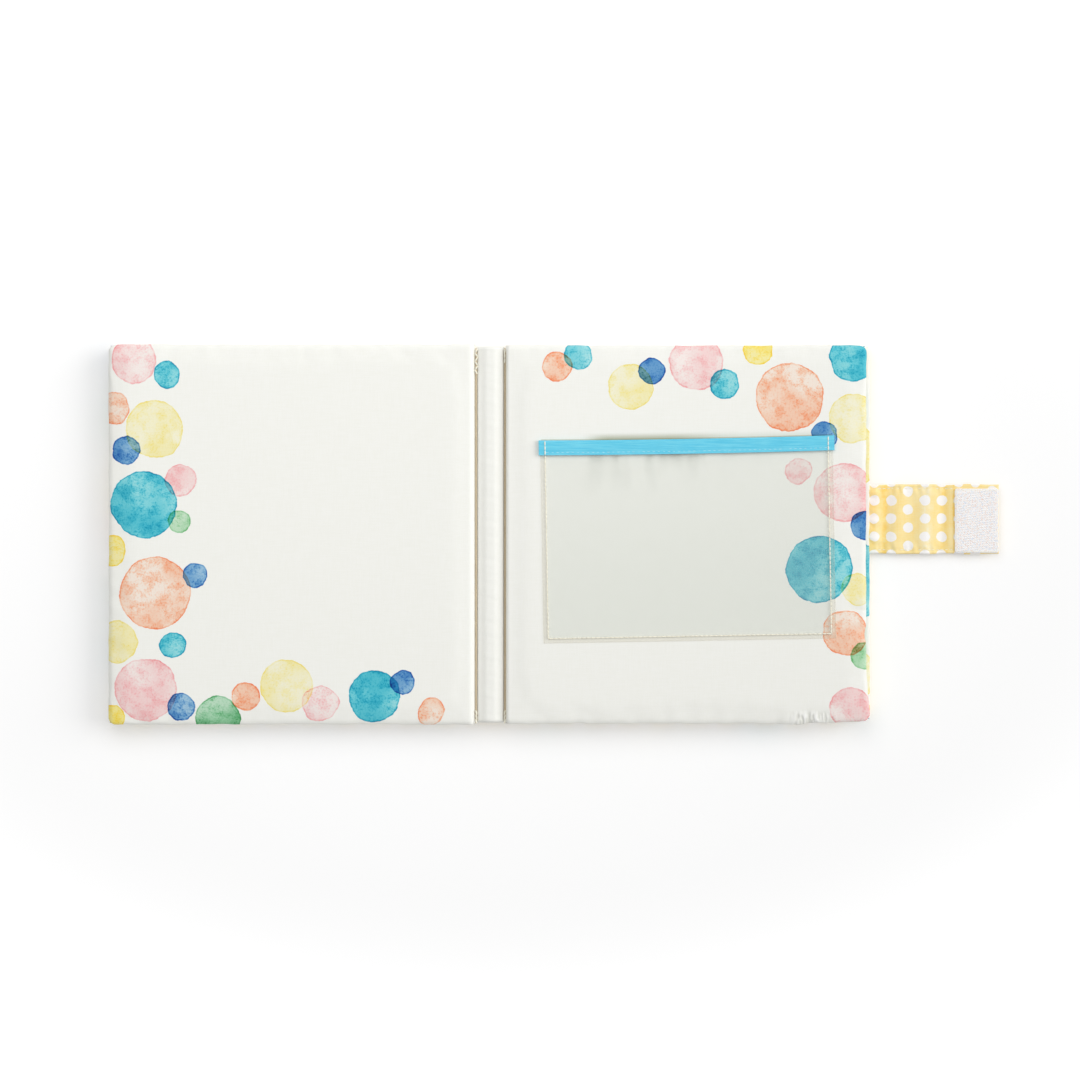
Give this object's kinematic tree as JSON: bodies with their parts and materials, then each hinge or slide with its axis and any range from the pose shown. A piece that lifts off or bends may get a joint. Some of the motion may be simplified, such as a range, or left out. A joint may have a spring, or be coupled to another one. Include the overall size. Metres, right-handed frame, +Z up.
{
  "type": "soft photo album",
  "caption": "Soft cloth photo album, open flat: padded covers and leaves sewn to a padded spine, clear print pockets, strap with hook and loop tape.",
  "frame": {"origin": "middle of the spine's flat underside, on the table", "axes": "+X across the open album towards the strap, +Y up the pages, +Z up from the table"},
  "size_m": [0.5086, 0.216, 0.0179],
  "materials": {
    "page_fabric": "fine plain weave, off-white with soft printed dots",
    "polka_dot_fabric": "fine plain weave, pale yellow with white polka dots",
    "foam": "soft open foam sheet, matt",
    "clear_vinyl": "milky clear soft vinyl, satin",
    "blue_ribbon": "woven sky blue ribbon",
    "white_tape": "white woven hook and loop tape"
  },
  "bodies": {
    "back_cover": {"back_cover_outer_fabric": "polka_dot_fabric", "back_cover_inner_fabric": "page_fabric", "back_cover_foam": "foam", "back_cover_pocket_window": "clear_vinyl", "back_cover_pocket_binding": "blue_ribbon", "strap_seam_tab": "polka_dot_fabric"},
    "spine": {"spine_outer_fabric": "polka_dot_fabric", "spine_gutter_strip": "page_fabric", "spine_foam": "foam"},
    "front_cover": {"front_cover_outer_fabric": "polka_dot_fabric", "front_cover_inner_fabric": "page_fabric", "front_cover_foam": "foam", "closure_loop_patch": "white_tape"},
    "left_leaf": {"left_leaf_back_fabric": "page_fabric", "left_leaf_front_fabric": "page_fabric", "left_leaf_foam": "foam", "left_leaf_pocket_window": "clear_vinyl", "left_leaf_pocket_binding": "blue_ribbon"},
    "right_leaf": {"right_leaf_back_fabric": "page_fabric", "right_leaf_front_fabric": "page_fabric", "right_leaf_foam": "foam", "right_leaf_pocket_window": "clear_vinyl", "right_leaf_pocket_binding": "blue_ribbon"},
    "strap": {"strap_middle": "polka_dot_fabric"},
    "strap_end": {"strap_tip": "polka_dot_fabric", "strap_hook_patch": "white_tape"}
  },
  "joints": [
    {"name": "spine_fold", "type": "hinge", "parent": "back_cover", "child": "spine", "pos_m": [0.00825, 0, 0.009], "axis": [0, 1, 0], "range_deg": [0, 90]},
    {"name": "cover_fold", "type": "hinge", "parent": "spine", "child": "front_cover", "pos_m": [-0.00825, 0, 0.009], "axis": [0, 1, 0], "range_deg": [0, 90]},
    {"name": "left_leaf_turn", "type": "hinge", "parent": "front_cover", "child": "left_leaf", "pos_m": [-0.004, 0, 0.017], "axis": [0, -1, 0], "range_deg": [-179.9, 0]},
    {"name": "right_leaf_turn", "type": "hinge", "parent": "back_cover", "child": "right_leaf", "pos_m": [0.004, 0, 0.017], "axis": [0, 1, 0], "range_deg": [-179.9, 0]},
    {"name": "strap_fold", "type": "hinge", "parent": "back_cover", "child": "strap", "pos_m": [0.21815, 0.00885, 0.0045], "axis": [0, -1, 0], "range_deg": [0, 90]},
    {"name": "strap_tip_fold", "type": "hinge", "parent": "strap", "child": "strap_end", "pos_m": [0.25025, 0.00885, 0.0045], "axis": [0, -1, 0], "range_deg": [0, 90]}
  ]
}
